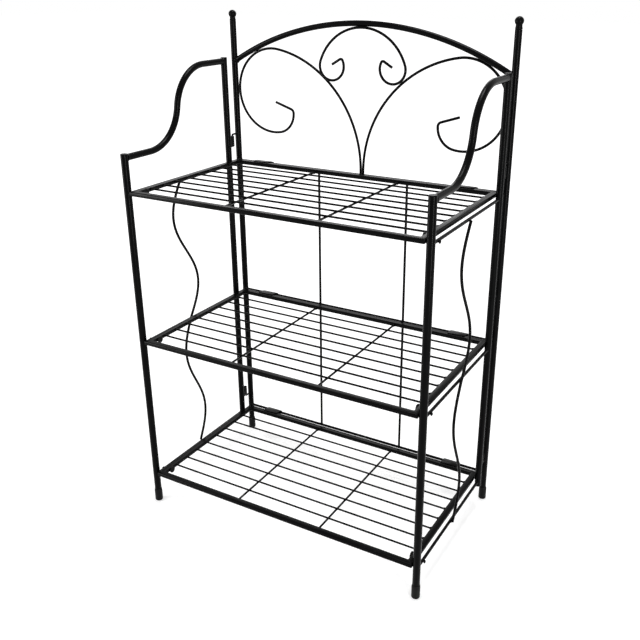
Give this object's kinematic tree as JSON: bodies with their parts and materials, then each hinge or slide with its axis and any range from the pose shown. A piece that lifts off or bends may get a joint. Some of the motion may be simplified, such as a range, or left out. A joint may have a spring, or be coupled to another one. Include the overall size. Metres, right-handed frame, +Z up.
{
  "type": "plant stand",
  "caption": "Folding wire plant stand: tiered shelves hinged on a scrolled back frame with an arched top, between two curved side frames on plastic feet.",
  "frame": {"origin": "centre of the footprint on the floor, between the feet", "axes": "+X to the right as seen from the front, +Y to the back, +Z up"},
  "size_m": [0.616, 0.3592, 0.9735],
  "materials": {
    "black_steel": "satin black powder coat",
    "black_plastic": "matt black moulded plastic"
  },
  "bodies": {
    "back_frame": {"left_back_post": "black_steel", "right_back_post": "black_steel", "left_finial": "black_steel", "right_finial": "black_steel", "left_back_foot": "black_plastic", "right_back_foot": "black_plastic", "arch_rail": "black_steel", "bottom_back_bar": "black_steel", "middle_back_bar": "black_steel", "top_back_bar": "black_steel", "left_back_wire": "black_steel", "right_back_wire": "black_steel", "left_scroll": "black_steel", "right_scroll": "black_steel", "crown_scroll": "black_steel", "left_upper_hinge_pin": "black_steel", "left_lower_hinge_pin": "black_steel", "right_upper_hinge_pin": "black_steel", "right_lower_hinge_pin": "black_steel"},
    "left_side": {"left_front_leg": "black_steel", "left_front_foot": "black_plastic", "left_rear_upright": "black_steel", "left_arm_rail": "black_steel", "left_bottom_bar": "black_steel", "left_middle_bar": "black_steel", "left_top_bar": "black_steel", "left_wave_wire": "black_steel", "left_upper_hinge_strap": "black_steel", "left_lower_hinge_strap": "black_steel"},
    "right_side": {"right_front_leg": "black_steel", "right_front_foot": "black_plastic", "right_rear_upright": "black_steel", "right_arm_rail": "black_steel", "right_bottom_bar": "black_steel", "right_middle_bar": "black_steel", "right_top_bar": "black_steel", "right_wave_wire": "black_steel", "right_upper_hinge_strap": "black_steel", "right_lower_hinge_strap": "black_steel"},
    "top_shelf": {"top_shelf_frame": "black_steel", "top_shelf_deck": "black_steel", "top_left_clip": "black_steel", "top_right_clip": "black_steel", "top_left_bumper": "black_plastic", "top_right_bumper": "black_plastic"},
    "middle_shelf": {"middle_shelf_frame": "black_steel", "middle_shelf_deck": "black_steel", "middle_left_clip": "black_steel", "middle_right_clip": "black_steel", "middle_left_bumper": "black_plastic", "middle_right_bumper": "black_plastic"},
    "bottom_shelf": {"bottom_shelf_frame": "black_steel", "bottom_shelf_deck": "black_steel", "bottom_left_clip": "black_steel", "bottom_right_clip": "black_steel", "bottom_left_bumper": "black_plastic", "bottom_right_bumper": "black_plastic"}
  },
  "joints": [
    {"name": "top_shelf_fold", "type": "hinge", "parent": "back_frame", "child": "top_shelf", "pos_m": [0, 0.16785, 0.6683], "axis": [-1, 0, 0], "range_deg": [0, 78]},
    {"name": "middle_shelf_fold", "type": "hinge", "parent": "back_frame", "child": "middle_shelf", "pos_m": [0, 0.16785, 0.3703], "axis": [-1, 0, 0], "range_deg": [0, 57]},
    {"name": "bottom_shelf_fold", "type": "hinge", "parent": "back_frame", "child": "bottom_shelf", "pos_m": [0, 0.16785, 0.0673], "axis": [-1, 0, 0], "range_deg": [0, 58]},
    {"name": "left_side_swing", "type": "hinge", "parent": "back_frame", "child": "left_side", "pos_m": [-0.3, 0.15035, 0.4113], "axis": [0, 0, -1], "range_deg": [0, 90]},
    {"name": "right_side_swing", "type": "hinge", "parent": "back_frame", "child": "right_side", "pos_m": [0.3, 0.15035, 0.4113], "axis": [0, 0, 1], "range_deg": [0, 90]}
  ]
}
